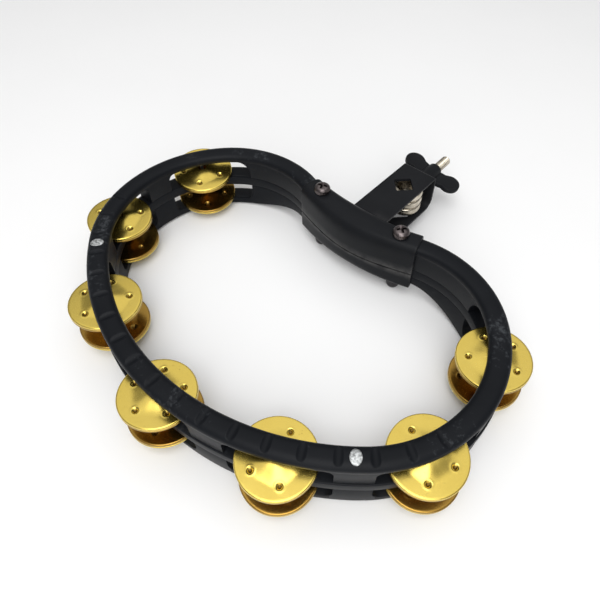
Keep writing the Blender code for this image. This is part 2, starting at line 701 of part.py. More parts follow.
def build_wing_nut():
    base = BRACKET_ORIGIN_Y + BRACKET_REACH + GAP
    tip = base + WING_BARREL_LENGTH
    bore = BOLT_RADIUS + GAP
    levels = [(bore, base), (bore, tip), (WING_END_RADIUS - 1.2 * MM, tip),
              (WING_END_RADIUS, tip - 1.5 * MM), (WING_BASE_RADIUS, base + 2.0 * MM),
              (WING_BASE_RADIUS, base)]
    barrel = turned(levels, 20, axis="Y")
    axis_point = Vector((CLAMP_SHIFT, 0.0, BOLT_HEIGHT))
    piece = make_object("wing_nut", moved(barrel, axis_point), "coated_steel")
    half = 0.5 * WING_LOBE_THICKNESS
    inner = 0.5 * (bore + WING_END_RADIUS)
    for side in (-1.0, 1.0):
        centre_x, centre_y = side * WING_LOBE_OFFSET, base + WING_LOBE_ALONG
        outline = [(side * inner, centre_y - 9.0 * MM)]
        for k in range(13):
            angle = radians(-110.0 + 220.0 * k / 12.0)
            across = side * WING_LOBE_HALF * cos(angle)
            outline.append((centre_x + across, centre_y + WING_LOBE_HALF * sin(angle)))
        outline.append((side * inner, centre_y + 4.0 * MM))
        lobe = prism(outline, -half, half)
        boolean(piece, moved(lobe, axis_point), "UNION")
    apply_modifiers(piece)
    spin = Matrix.Translation(axis_point) @ Matrix.Rotation(WING_ROTATION, 4, "Y")
    piece.data.transform(spin @ Matrix.Translation(-axis_point))


def main():
    clear_scene()
    build_rim()
    build_rivets()
    build_jingles()
    build_covers()
    build_screws()
    build_bracket()
    build_eye_bolt()
    build_wing_nut()


main()
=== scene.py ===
"""Looks of the mountable tambourine: fine meshes, procedural materials, studio light and camera."""
from math import acos, atan2, copysign, cos, exp, pi, radians, sin, sqrt
import bmesh
import bpy
from mathutils import Matrix, Vector


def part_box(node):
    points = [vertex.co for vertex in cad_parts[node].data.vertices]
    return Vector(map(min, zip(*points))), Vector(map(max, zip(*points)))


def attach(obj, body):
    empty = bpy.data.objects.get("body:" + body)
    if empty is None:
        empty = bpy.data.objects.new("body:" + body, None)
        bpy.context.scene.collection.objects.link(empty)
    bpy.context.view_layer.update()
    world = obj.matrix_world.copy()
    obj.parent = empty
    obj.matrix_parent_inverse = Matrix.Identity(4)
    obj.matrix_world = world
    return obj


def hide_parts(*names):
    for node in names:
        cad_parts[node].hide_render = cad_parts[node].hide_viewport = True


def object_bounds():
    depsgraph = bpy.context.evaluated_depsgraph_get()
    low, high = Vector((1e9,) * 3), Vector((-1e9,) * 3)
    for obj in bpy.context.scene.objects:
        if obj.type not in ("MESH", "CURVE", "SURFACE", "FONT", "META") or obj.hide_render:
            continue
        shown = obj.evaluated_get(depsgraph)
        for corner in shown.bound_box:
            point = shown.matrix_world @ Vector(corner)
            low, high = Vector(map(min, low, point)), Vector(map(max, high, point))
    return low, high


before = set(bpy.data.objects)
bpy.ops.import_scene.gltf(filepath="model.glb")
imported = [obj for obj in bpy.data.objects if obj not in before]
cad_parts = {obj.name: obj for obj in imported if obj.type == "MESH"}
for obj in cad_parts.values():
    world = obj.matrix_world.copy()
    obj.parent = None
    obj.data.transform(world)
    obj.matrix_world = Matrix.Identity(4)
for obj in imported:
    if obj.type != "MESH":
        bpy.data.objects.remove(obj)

CAD_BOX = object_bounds()
MM = 0.001

# Rim outline and section, as the CAD frame has them
RIM_ARCS = [(177.5 * MM, radians(41.3)), (84.3 * MM, radians(92.0)), (70.3 * MM, radians(64.7))]
RIM_HEIGHT = 50.0 * MM
WALL_HALF = 6.4 * MM
BEAD_HALF = 6.9 * MM
SLOT_FLOOR = 5.8 * MM
BAND_BOTTOM = 20.55 * MM
BAND_TOP = 28.25 * MM
SLOT_CEILING = 43.0 * MM
BAND_RIDGE = 0.9 * MM
STATION_PITCH = 81.1 * MM
SLOT_HALF = 30.0 * MM
SLOT_CORNER = (5.0 * MM, 5.0 * MM)
END_SLOT_REACH = 41.5 * MM
UPPER_END_CORNER = (11.0 * MM, 12.5 * MM)
LOWER_END_CORNER = (5.0 * MM, 9.0 * MM)

# How far each stack of jingles leans, in degrees, and how far it hangs off its pin's middle,
# along the rim and outwards, in mm
STATION_TILTS = (-9.0, -5.0, -4.0, -3.0, 4.0, 6.0, -3.0)
STATION_SHIFTS = ((-0.55, -0.5), (0.0, 0.0), (-1.0, 0.3), (-0.35, 0.9), (-1.0, 0.6), (0.0, 0.0),
                  (-0.8, -0.8))

RIM_STEP = 2.6 * MM
NOTCH_PITCH = 18.8 * MM
NOTCH_COUNT = 19
NOTCH_DEPTH = 1.2 * MM
NOTCH_RADIUS = 3.0 * MM
SEAM = 0.12 * MM
HANDLE_RISE = 13.5 * MM
HANDLE_START = 111.0 * MM
HANDLE_END = 48.0 * MM
CLAMP_SHIFT = 4.2 * MM
CLAMP_HALF = 49.5 * MM
FOOT_HALF = 22.0 * MM


def arc_step(point, heading, radius, angle, offset=0.0):
    """Walk an arc: left for a positive radius, right for a negative one."""
    end = heading + (angle if radius > 0 else -angle)
    centre = Vector((point.x - radius * sin(heading), point.y + radius * cos(heading)))
    reach = radius + offset
    return Vector((centre.x + reach * sin(end), centre.y - reach * cos(end))), end


def close_outline():
    """Add the dent's arc, which ends on the plane of symmetry."""
    point, heading = Vector((0.0, 0.0)), 0.0
    for radius, angle in RIM_ARCS:
        point, heading = arc_step(point, heading, radius, angle)
    dent_angle = heading - pi
    dent_radius = point.x / sin(dent_angle)
    dent, _ = arc_step(point, heading, -dent_radius, dent_angle)
    return RIM_ARCS + [(-dent_radius, dent_angle)], dent.y


ARCS, DENT_Y = close_outline()
HALF_LENGTH = sum(abs(radius) * angle for radius, angle in ARCS)
CLAMP_STATION = HALF_LENGTH - CLAMP_SHIFT
FRAME_LOW, FRAME_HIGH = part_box("frame_upper")
FRONT_Y = FRAME_LOW.y + BEAD_HALF
RIM_BASE = FRAME_HIGH.z - RIM_HEIGHT
BRACKET_Y = FRONT_Y + DENT_Y


def rim_point(station, offset=0.0):
    distance = (station + HALF_LENGTH) % (2.0 * HALF_LENGTH) - HALF_LENGTH
    side = -1.0 if distance < 0.0 else 1.0
    left = abs(distance)
    point, heading = Vector((0.0, 0.0)), 0.0
    for radius, angle in ARCS:
        length = abs(radius) * angle
        if left <= length or (radius, angle) == ARCS[-1]:
            point, heading = arc_step(point, heading, radius, left / abs(radius), offset)
            break
        left -= length
        point, heading = arc_step(point, heading, radius, angle)
    return Vector((side * point.x, point.y + FRONT_Y))


def rim_outward(station):
    return (rim_point(station, MM) - rim_point(station)) / MM


def on_rim(station, section):
    """Place a section's (offset, height) points at a station of the rim."""
    foot = rim_point(station)
    out = rim_outward(station)
    return [(foot.x + u * out.x, foot.y + u * out.y, RIM_BASE + z) for u, z in section]


# ---------------------------------------------------------------- mesh helpers

def loft(rings, closed=False):
    """Skin a row of equal rings; an open row gets both its ends capped."""
    shape = bmesh.new()
    loops = [[shape.verts.new(p) for p in ring] for ring in rings]
    count = len(loops[0])
    pairs = list(zip(loops, loops[1:])) + ([(loops[-1], loops[0])] if closed else [])
    for near, far in pairs:
        for i in range(count):
            j = (i + 1) % count
            shape.faces.new((near[i], near[j], far[j], far[i]))
    if not closed:
        shape.faces.new(loops[0])
        shape.faces.new(loops[-1])
    return shape


def circle(radius, segments, centre=(0.0, 0.0)):
    points = []
    for k in range(segments):
        a = 2.0 * pi * k / segments
        points.append((centre[0] + radius * cos(a), centre[1] + radius * sin(a)))
    return points


def turned(profile, segments):
    """Turn a closed profile of (radius, height) about Z."""
    rings = []
    for k in range(segments):
        a = 2.0 * pi * k / segments
        rings.append([(r * cos(a), r * sin(a), h) for r, h in profile])
    return loft(rings, closed=True)


def mesh_of(shape, name):
    bmesh.ops.recalc_face_normals(shape, faces=shape.faces)
    mesh = bpy.data.meshes.new(name)
    shape.to_mesh(mesh)
    shape.free()
    return mesh


def add_piece(name, shape, material, body="root", replaces=(), sharp=35.0):
    finish_piece(name, mesh_of(shape, name), material, body, replaces, sharp)


def finish_piece(name, mesh, material, body="root", replaces=(), sharp=35.0):
    """Make a mesh a piece of the model: its shading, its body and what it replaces."""
    mesh.shade_smooth()
    mesh.set_sharp_from_angle(angle=radians(sharp))
    mesh.materials.clear()
    mesh.materials.append(material)
    piece = bpy.data.objects.new(name, mesh)
    bpy.context.scene.collection.objects.link(piece)
    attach(piece, body)
    if replaces:
        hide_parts(*replaces)


def arc_points(centre, radius, start, end, steps):
    points = []
    for k in range(steps + 1):
        a = radians(start + (end - start) * k / steps)
        points.append((centre[0] + radius * cos(a), centre[1] + radius * sin(a)))
    return points


def rounded_polygon(corners, radii, steps=4):
    """Closed outline with each corner rounded by its own radius."""
    outline = []
    count = len(corners)
    for i in range(count):
        before, here, after = (Vector(corners[i - 1]), Vector(corners[i]), Vector(corners[(i + 1) % count]))
        to_before = (before - here).normalized()
        to_after = (after - here).normalized()
        half_angle = 0.5 * acos(max(-1.0, min(1.0, to_before.dot(to_after))))
        radius = radii[i]
        if radius <= 0.0 or half_angle > 1.56:
            outline.append(tuple(here))
            continue
        cut = radius / (sin(half_angle) / cos(half_angle))
        centre = here + (to_before + to_after).normalized() * (radius / sin(half_angle))
        first = here + to_before * cut - centre
        last = here + to_after * cut - centre
        sweep = atan2(first.x * last.y - first.y * last.x, first.dot(last))
        for k in range(steps + 1):
            turn = Matrix.Rotation(sweep * k / steps, 2)
            outline.append(tuple(centre + turn @ first))
    return outline


def smooth_step(low, high, value):
    t = max(0.0, min(1.0, (value - low) / (high - low)))
    return t * t * (3.0 - 2.0 * t)


# ---------------------------------------------------------------- materials

def node(tree, kind, links=(), **values):
    """Add a node, set its values by attribute or by input name, and link its inputs."""
    made = tree.nodes.new(kind)
    for key, value in values.items():
        if hasattr(made, key):
            setattr(made, key, value)
        else:
            made.inputs[key].default_value = value
    for source, target in links:
        tree.links.new(source, made.inputs[target])
    return made


def noise(tree, coords, scale, detail=3.0, rough=0.55):
    made = node(tree, "ShaderNodeTexNoise", [(coords, "Vector")], Scale=scale, Detail=detail,
                Roughness=rough)
    return made.outputs["Fac"]


def ramp(tree, factor, stops):
    made = node(tree, "ShaderNodeValToRGB", [(factor, "Fac")])
    elements = made.color_ramp.elements
    while len(elements) < len(stops):
        elements.new(0.5)
    for element, (position, colour) in zip(elements, stops):
        element.position = position
        element.color = (*colour, 1.0)
    return made.outputs["Color"]


def grey(value):
    return (value, value, value)


def maths(tree, operation, a, b):
    made = tree.nodes.new("ShaderNodeMath")
    made.operation = operation
    for i, value in enumerate((a, b)):
        if isinstance(value, (int, float)):
            made.inputs[i].default_value = value
        else:
            tree.links.new(value, made.inputs[i])
    return made.outputs[0]


def mix_colour(tree, factor, a, b):
    made = tree.nodes.new("ShaderNodeMix")
    made.data_type = "RGBA"
    slots = {"Factor": made.inputs[0], "A": made.inputs[6], "B": made.inputs[7]}
    for key, value in (("Factor", factor), ("A", a), ("B", b)):
        if isinstance(value, (int, float)):
            slots[key].default_value = value
        elif isinstance(value, tuple):
            slots[key].default_value = (*value, 1.0)
        else:
            tree.links.new(value, slots[key])
    return made.outputs[2]


def start_material(name, metallic=0.0):
    material = bpy.data.materials.new(name)
    material.use_nodes = True
    tree = material.node_tree
    shader = tree.nodes["Principled BSDF"]
    shader.inputs["Metallic"].default_value = metallic
    coords = tree.nodes.new("ShaderNodeTexCoord").outputs["Object"]
    return material, tree, shader, coords


def add_bump(tree, shader, height, strength, distance):
    bump = node(tree, "ShaderNodeBump", [(height, "Height")], Strength=strength, Distance=distance)
    tree.links.new(bump.outputs["Normal"], shader.inputs["Normal"])


def pointiness(tree):
    return tree.nodes.new("ShaderNodeNewGeometry").outputs["Pointiness"]


def edge_wear(tree, low, high):
    """Bright on convex edges, from the mesh's pointiness."""
    return ramp(tree, pointiness(tree), [(low, grey(0.0)), (high, grey(1.0))])


def rim_plastic():
    """Satin black moulding: a faint grain, soft scuffs and paler rubbed patches, made stronger on the bead's
    crown as painted light on the top.
    """
    material, tree, shader, coords = start_material("rim_plastic")
    grain = noise(tree, coords, 900.0, 2.0)
    patches = noise(tree, coords, 26.0, 4.0, 0.6)
    rubs = noise(tree, coords, 320.0, 5.0, 0.7)
    rub_mask = ramp(tree, maths(tree, "MULTIPLY", patches, rubs), [(0.31, grey(0.0)), (0.42, grey(1.0))])
    base = mix_colour(tree, ramp(tree, patches, [(0.3, grey(0.0)), (0.7, grey(1.0))]),
                      (0.0060, 0.0069, 0.0088), (0.0090, 0.0101, 0.0125))
    height = node(tree, "ShaderNodeSeparateXYZ", [(coords, "Vector")]).outputs["Z"]
    # Rubbed patches are real scuffs; raising their share on the crown paints the top paler, as the light
    # falls there.
    crown = ramp(tree, maths(tree, "MULTIPLY", height, 10.0), CROWN_LIGHTENING_BAND)
    share = maths(tree, "ADD", maths(tree, "MULTIPLY", crown, 0.55), 0.25)
    rubbed = maths(tree, "MULTIPLY", rub_mask, share)
    worn = mix_colour(tree, rubbed, base, (0.055, 0.060, 0.066))
    tree.links.new(worn, shader.inputs["Base Color"])
    rough = maths(tree, "ADD", maths(tree, "MULTIPLY", patches, 0.16), 0.34)
    rough = maths(tree, "ADD", rough, maths(tree, "MULTIPLY", rub_mask, 0.08))
    tree.links.new(rough, shader.inputs["Roughness"])
    shader.inputs["Specular IOR Level"].default_value = 0.11
    add_bump(tree, shader, maths(tree, "ADD", grain, maths(tree, "MULTIPLY", rubs, 0.8)), 0.16, 0.00025)
    return material


def powder_coat(name, tone, rough_low):
    """Fine orange-peel coating with paler rubbed edges."""
    material, tree, shader, coords = start_material(name)
    peel = noise(tree, coords, 1300.0, 2.0)
    cloud = noise(tree, coords, 45.0, 4.0)
    base = mix_colour(tree, cloud, tuple(0.8 * c for c in tone), tuple(1.25 * c for c in tone))
    patchy = ramp(tree, noise(tree, coords, 160.0, 3.0), [(0.35, grey(0.35)), (0.6, grey(1.0))])
    wear = maths(tree, "MULTIPLY", edge_wear(tree, 0.56, 0.63), patchy)
    worn = mix_colour(tree, maths(tree, "MULTIPLY", wear, 0.6), base, (0.20, 0.195, 0.19))
    tree.links.new(worn, shader.inputs["Base Color"])
    rough = maths(tree, "ADD", maths(tree, "MULTIPLY", cloud, 0.14), rough_low)
    tree.links.new(rough, shader.inputs["Roughness"])
    shader.inputs["Specular IOR Level"].default_value = 0.08
    add_bump(tree, shader, peel, 0.22, 0.0002)
    return material


# Colour of convex edges: rubbed brass, and on the shade-darkened copy a painted highlight along the lips.
RUBBED_EDGE_AND_GLINT_BRASS = (0.860, 0.660, 0.170)


def brass(name, offset, light=(0.770, 0.590, 0.140), dark=(0.690, 0.510, 0.102)):
    """Polished brass with a fine ripple, tiny specks, painted shade darkening the dents and creases, and
    bright rubbed edges, which on the shade-darkened copy also stand in for highlights along the lips.
    """
    material, tree, shader, coords = start_material(name, metallic=1.0)
    shift = node(tree, "ShaderNodeVectorMath", [(coords, 0)], operation="ADD")
    shift.inputs[1].default_value = (offset, 0.37 * offset, 0.0)
    where = shift.outputs[0]
    haze = noise(tree, where, 60.0, 4.0, 0.6)
    fine = noise(tree, where, 700.0, 3.0)
    specks = ramp(tree, noise(tree, where, 1500.0, 1.0), [(0.70, grey(0.0)), (0.76, grey(1.0))])
    # Convex edges brighten: rubbed wear, and on the shade-darkened copy a painted highlight along the lips.
    wear = edge_wear(tree, 0.54, 0.60)
    rubbed = mix_colour(tree, wear, mix_colour(tree, haze, dark, light), RUBBED_EDGE_AND_GLINT_BRASS)
    # Painted shade: concave places, such as the dimples and the creases by the lips, go dark brown; the tiny
    # specks share this dark brown as real marks.
    dent_painted_shade = ramp(tree, pointiness(tree), [(0.455, grey(1.0)), (0.49, grey(0.0))])
    specks_and_dent_shade = maths(tree, "MAXIMUM", maths(tree, "MULTIPLY", specks, 0.75),
                  maths(tree, "MULTIPLY", dent_painted_shade, 0.92))
    tree.links.new(mix_colour(tree, specks_and_dent_shade, rubbed, (0.11, 0.055, 0.014)), shader.inputs["Base Color"])
    rough = maths(tree, "ADD", maths(tree, "MULTIPLY", haze, 0.10), 0.20)
    tree.links.new(maths(tree, "ADD", rough, maths(tree, "MULTIPLY", specks_and_dent_shade, 0.2)), shader.inputs["Roughness"])
    add_bump(tree, shader, fine, 0.05, 0.0001)
    return material


def plated(name, dark, light, rough_low, scratch=0.10, cloud_scale=130.0):
    """Plated metal with cloudy tone, small scratches and dull patches."""
    material, tree, shader, coords = start_material(name, metallic=1.0)
    stretch = node(tree, "ShaderNodeMapping", [(coords, "Vector")], Scale=(1.0, 4.0, 1.0))
    lines = noise(tree, stretch.outputs[0], 500.0, 5.0, 0.7)
    cloud = ramp(tree, noise(tree, coords, cloud_scale, 4.0), [(0.35, grey(0.0)), (0.65, grey(1.0))])
    tree.links.new(mix_colour(tree, cloud, dark, light), shader.inputs["Base Color"])
    rough = maths(tree, "ADD", maths(tree, "MULTIPLY", lines, 0.2), rough_low)
    tree.links.new(rough, shader.inputs["Roughness"])
    add_bump(tree, shader, lines, scratch, 0.0002)
    return material


# The bead's crown, as a band of heights in tenths of a metre, where the rubbed patches are strengthened as
# painted light on the top
CROWN_LIGHTENING_BAND = [(10.0 * (RIM_BASE + 46.5 * MM), grey(0.0)), (10.0 * (RIM_BASE + 49.2 * MM), grey(1.0))]
RIM_PLASTIC = rim_plastic()
COVER_COAT = powder_coat("cover_coat", (0.0110, 0.0118, 0.0136), 0.28)
BRACKET_COAT = powder_coat("bracket_coat", (0.0125, 0.0131, 0.0148), 0.34)
WING_COAT = powder_coat("wing_coat", (0.0120, 0.0128, 0.0144), 0.34)
SCREW_PLATE = plated("black_nickel", (0.090, 0.077, 0.077), (0.190, 0.162, 0.160), 0.20)
NICKEL = plated("nickel", (0.36, 0.32, 0.25), (0.66, 0.60, 0.50), 0.16)
PIN_STEEL = plated("pin_steel", (0.45, 0.44, 0.42), (0.66, 0.65, 0.63), 0.22)
ALUMINIUM = plated("rivet_aluminium", (0.26, 0.27, 0.27), (0.80, 0.82, 0.82), 0.36, 0.8, 700.0)
BRASSES = [brass(f"brass_{k}", 0.31 * k) for k in range(4)]
# Painted shade: a darker copy of the brass for the jingles that face each other between the rows, where the
# upper pair shades the lower one.
SHADED_BRASS = brass("brass_painted_shade", 0.83, (0.440, 0.270, 0.060), (0.300, 0.175, 0.036))
NUT_BLACK = plated("nut_black", (0.030, 0.028, 0.030), (0.070, 0.066, 0.068), 0.30)


# ---------------------------------------------------------------- rim

STATIONS = [STATION_PITCH * k for k in range(-3, 4)]
NOTCHES = [NOTCH_PITCH * (k - NOTCH_COUNT // 2) for k in range(NOTCH_COUNT)]
RIVETS = (-1.5 * STATION_PITCH, 1.5 * STATION_PITCH)


def notch_floor(station):
    """Height of the hollow cross cuts over the bead: round-bottomed, with crisp edges."""
    level = RIM_HEIGHT + MM
    for at in NOTCHES:
        level = min(level, RIM_HEIGHT - NOTCH_DEPTH + (station - at) ** 2 / (2.0 * NOTCH_RADIUS))
    return level


def slot_ends():
    """(start, end, start corner, end corner) of each slot; None stands for the end slots' large corner."""
    ends = []
    for centre in STATIONS:
        first, last = centre == STATIONS[0], centre == STATIONS[-1]
        start = centre - (END_SLOT_REACH if first else SLOT_HALF)
        end = centre + (END_SLOT_REACH if last else SLOT_HALF)
        ends.append((start, end, None if first else SLOT_CORNER, None if last else SLOT_CORNER))
    return ends


def rim_stations(end_corner):
    """Stations for the fine sweep: close together at the notches and the slots' corners."""
    count = int(2.0 * HALF_LENGTH / RIM_STEP)
    stations = {round(-HALF_LENGTH + 2.0 * HALF_LENGTH * k / count, 6) for k in range(count)}
    for at in NOTCHES:
        stations.update(round(at + 0.4 * MM * k, 6) for k in range(-8, 9))
    for start, end, first, last in slot_ends():
        for edge, inwards, corner in ((start, 1.0, first or end_corner), (end, -1.0, last or end_corner)):
            shares = [1.0 - cos(radians(a)) for a in range(0, 91, 10)]
            stations.update(round(edge + inwards * corner[0] * share, 6) for share in shares)
            stations.add(round(edge - inwards * 0.05 * MM, 6))
    return sorted(stations)


def slot_level(station, plain, slot, end_corner):
    """Level of a layer's slotted edge: plain on the pillars, the slot's level in the slots."""
    for start, end, first, last in slot_ends():
        if not start - 1e-7 <= station <= end + 1e-7:
            continue
        level = slot
        for inside, corner in ((station - start, first or end_corner), (end - station, last or end_corner)):
            along, up = corner
            if inside < along:
                share = 1.0 - max(0.0, inside) / along
                drop = up * (1.0 - sqrt(max(0.0, 1.0 - share * share)))
                level = slot - copysign(drop, slot - plain)
        return level
    return plain


BEAD_SHOULDER = 45.6 * MM
BEAD_POWER = 0.80
BEAD_STEPS = 18


def bead_half():
    """Right half of the upper layer's section, from the wall up and over to the crown."""
    points = [(WALL_HALF, 42.2 * MM), (WALL_HALF, 43.2 * MM), (WALL_HALF + 0.16 * MM, 44.0 * MM),
              (BEAD_HALF - 0.10 * MM, 44.7 * MM), (BEAD_HALF, 45.3 * MM)]
    for k in range(1, BEAD_STEPS + 1):
        a = 0.5 * pi * k / BEAD_STEPS
        across = BEAD_HALF * cos(a) ** BEAD_POWER if k < BEAD_STEPS else 0.0
        points.append((across, BEAD_SHOULDER + (RIM_HEIGHT - BEAD_SHOULDER) * sin(a) ** BEAD_POWER))
    return points


BEAD = bead_half()
RIM_SHARP = 32.0


def upper_section(station):
    low = slot_level(station, BAND_TOP + SEAM, SLOT_CEILING, UPPER_END_CORNER)
    soft = 0.35 * MM
    top = notch_floor(station)
    half = [(WALL_HALF - soft, low), (WALL_HALF - 0.1 * MM, low + 0.1 * MM), (WALL_HALF, low + soft)]
    half += [(u, min(top, max(z, low + soft + 0.01 * MM))) for u, z in BEAD]
    return [(-u, z) for u, z in half[:-1]] + half[::-1]


def sweep_rim(section_at, end_corner):
    return loft([on_rim(s, section_at(s)) for s in rim_stations(end_corner)], closed=True)


def build_upper_rim():
    shape = sweep_rim(upper_section, UPPER_END_CORNER)
    add_piece("rim_upper", shape, RIM_PLASTIC, replaces=("frame_upper",), sharp=RIM_SHARP)


def ledge(level):
    """A slot's floor seen from the inside: a raised lip, a fine groove and the flat floor."""
    lip, groove = 1.3 * MM, 0.45 * MM
    points = ((0.0, 0.35 * MM), (0.1 * MM, 0.1 * MM), (0.35 * MM, 0.0), (lip, 0.0),
              (lip + 0.25 * MM, groove), (lip + 0.8 * MM, groove), (lip + 1.1 * MM, 0.1 * MM))
    return [(-WALL_HALF + across, level - deep) for across, deep in points]


def handle_rise(station):
    """The rim's underside rises smoothly into the dent."""
    reach = abs(abs(station) - HALF_LENGTH)
    return HANDLE_RISE * smooth_step(HANDLE_START, HANDLE_END, reach)


def lower_section(station):
    low = handle_rise(station)
    top = slot_level(station, BAND_BOTTOM - SEAM, SLOT_FLOOR, LOWER_END_CORNER)
    foot = arc_points((WALL_HALF - 1.3 * MM, low + 1.3 * MM), 1.3 * MM, -90.0, 0.0, 4)
    soft = 0.3 * MM
    right = [(WALL_HALF, top - soft), (WALL_HALF - 0.1 * MM, top - 0.1 * MM), (WALL_HALF - soft, top)]
    return [(-u, z) for u, z in foot] + ledge(top) + right[::-1] + foot[::-1]


def build_lower_rim():
    shape = sweep_rim(lower_section, LOWER_END_CORNER)
    add_piece("rim_lower", shape, RIM_PLASTIC, replaces=("frame_lower",), sharp=RIM_SHARP)


def band_section(station):
    distance = (station - CLAMP_STATION + HALF_LENGTH) % (2.0 * HALF_LENGTH) - HALF_LENGTH
    near_foot = abs(distance) < FOOT_HALF + 12.0 * MM
    ridge = WALL_HALF + (0.1 * MM if near_foot else BAND_RIDGE)
    soft = 0.35 * MM
    inner = [(-WALL_HALF, BAND_BOTTOM + soft)] + ledge(BAND_TOP)
    outer = rounded_polygon([(0.0, BAND_TOP), (ridge, BAND_TOP), (ridge, BAND_BOTTOM), (0.0, BAND_BOTTOM)],
                            [0.0, 0.9 * MM, 0.9 * MM, 0.0], 4)
    low_edge = [(-WALL_HALF + soft, BAND_BOTTOM), (-WALL_HALF + 0.1 * MM, BAND_BOTTOM + 0.1 * MM)]
    return inner + outer[1:-1] + low_edge


def build_band():
    shape = sweep_rim(band_section, UPPER_END_CORNER)
    add_piece("rim_band", shape, RIM_PLASTIC, replaces=("frame_middle",), sharp=RIM_SHARP)


RIVET_ALONG = 3.6 * MM
RIVET_ACROSS = 4.5 * MM
RIVET_SAG = 0.25 * MM
RIVET_SEGMENTS = 48
# Heights above the rim's base, in mm, and shares of the head's width, from the shank up to the crown
RIVET_LEVELS = ((0.45, 0.45), (47.4, 0.45), (47.4, 0.97), (49.0, 1.0), (49.75, 0.985), (50.02, 0.93),
                (50.12, 0.80), (50.22, 0.5), (50.26, 0.2))


def build_rivets():
    """Oval aluminium heads set flush in the bead, slightly crowned, that follow its roundness."""
    for name, station in zip(("rivet_left", "rivet_right"), RIVETS):
        at = rim_point(station)
        out = rim_outward(station)
        rings = []
        for height, share in RIVET_LEVELS:
            ring = []
            for k in range(RIVET_SEGMENTS):
                a = 2.0 * pi * k / RIVET_SEGMENTS
                along, across = RIVET_ALONG * share * cos(a), RIVET_ACROSS * share * sin(a)
                sag = RIVET_SAG * (across / RIVET_ACROSS) ** 2
                ring.append((at.x + across * out.x - along * out.y, at.y + across * out.y + along * out.x,
                             RIM_BASE + height * MM - sag))
            rings.append(ring)
        add_piece(name + "_fine", loft(rings), ALUMINIUM, replaces=(name,), sharp=50.0)


# ---------------------------------------------------------------- jingles

JINGLE_RADIUS = 23.1 * MM
HOLE_RADIUS = 3.2 * MM
DIMPLE_RING = 15.2 * MM
DIMPLES = 5
SHEET = 0.8 * MM
LIP_GAP = 0.3 * MM
JINGLE_PLATE = 1.9 * MM
JINGLE_RISE = 2.7 * MM
CAD_BAND_TOP = 28.1 * MM
JINGLE_SEGMENTS = 160
DOME_RADIUS = 16.0 * MM
DOME_LOBING = 0.7 * MM
DOME_HEIGHT = 2.85 * MM
SHOULDER_START = 22.2 * MM
SHOULDER_WIDTH = 0.9 * MM
DIMPLE_DEPTH = 1.25 * MM
DIMPLE_FLOOR = 0.5 * MM
DIMPLE_EDGE = 2.15 * MM
PUCKER_HEIGHT = 0.14 * MM
PUCKER_RADIUS = 2.45 * MM
PUCKER_WIDTH = 0.45 * MM
FINE_FROM = 12.3 * MM
FINE_STEP = 0.42 * MM
DIMPLE_ZONE = 3.4 * MM
BOTTOM_TURN = 31.0
# How each pair happens to stand on its pin, upper and lower row, in degrees
SPINS = ((20.7, 31.5), (64.0, 5.0), (57.4, 20.0), (55.1, 12.0), (31.6, 44.0), (16.7, 62.0), (71.5, 4.0))


def jingle_height(radius, angle):
    """Height of the jingle's upper skin above its lip plane."""
    base = DOME_RADIUS + DOME_LOBING * cos(DIMPLES * angle)
    dome = DOME_HEIGHT * max(0.0, 1.0 - (radius / base) ** 2) ** 2
    edge = max(0.0, (radius - SHOULDER_START) / SHOULDER_WIDTH)
    shoulder = SHOULDER_WIDTH * (1.0 - sqrt(max(0.0, 1.0 - edge * edge)))
    return JINGLE_PLATE + dome - shoulder


def dimple_depth(x, y):
    """Depth of the punched dimples below the skin, each with a slightly raised pucker round it."""
    depth = 0.0
    for k in range(DIMPLES):
        a = 2.0 * pi * k / DIMPLES
        d = sqrt((x - DIMPLE_RING * cos(a)) ** 2 + (y - DIMPLE_RING * sin(a)) ** 2)
        depth += DIMPLE_DEPTH * (1.0 - smooth_step(DIMPLE_FLOOR, DIMPLE_EDGE, d))
        depth -= PUCKER_HEIGHT * exp(-((d - PUCKER_RADIUS) / PUCKER_WIDTH) ** 2)
    return depth


JINGLE_LIP = ((JINGLE_RADIUS, 0.15), (JINGLE_RADIUS - 0.15 * MM, 0.0),
              (JINGLE_RADIUS - SHEET + 0.1 * MM, 0.0), (JINGLE_RADIUS - SHEET, 0.1))


def jingle_mesh(name, side):
    """Spun disc: upper skin, turned lip and under skin; side -1 is the pair's lower half."""
    radii = [HOLE_RADIUS + (FINE_FROM - HOLE_RADIUS) * k / 10 for k in range(11)]
    radii += [FINE_FROM + FINE_STEP * k for k in range(1, 15)]
    radii += [19.0 * MM, 20.2 * MM, 21.3 * MM, 22.2 * MM, 22.5 * MM, 22.75 * MM, 22.95 * MM, JINGLE_RADIUS]
    rings = []
    for k in range(JINGLE_SEGMENTS):
        a = 2.0 * pi * k / JINGLE_SEGMENTS
        top, under = [], []
        for r in radii:
            x, y = r * cos(a), r * sin(a)
            drop = dimple_depth(x, y) if abs(r - DIMPLE_RING) < DIMPLE_ZONE else 0.0
            height = 0.5 * LIP_GAP + jingle_height(r, a) - drop
            top.append((x, y, side * height))
            if r <= JINGLE_RADIUS - SHEET:
                under.append((x, y, side * (height - SHEET)))
        lip = [(r * cos(a), r * sin(a), side * (0.5 * LIP_GAP + h * MM)) for r, h in JINGLE_LIP]
        rings.append(top + lip + under[::-1])
    return mesh_of(loft(rings, closed=True), name)


def reach_in_slot(tilt):
    """How far a tilted jingle stands off the pair's middle plane inside the rim's wall."""
    crown = JINGLE_PLATE + JINGLE_RISE
    slope = JINGLE_RISE / (14.0 * MM - HOLE_RADIUS)
    reach = 0.0
    for offset in (HOLE_RADIUS, WALL_HALF + 0.8 * MM):
        height = crown - slope * (offset - HOLE_RADIUS)
        reach = max(reach, height * cos(tilt) + offset * sin(abs(tilt)))
    return reach


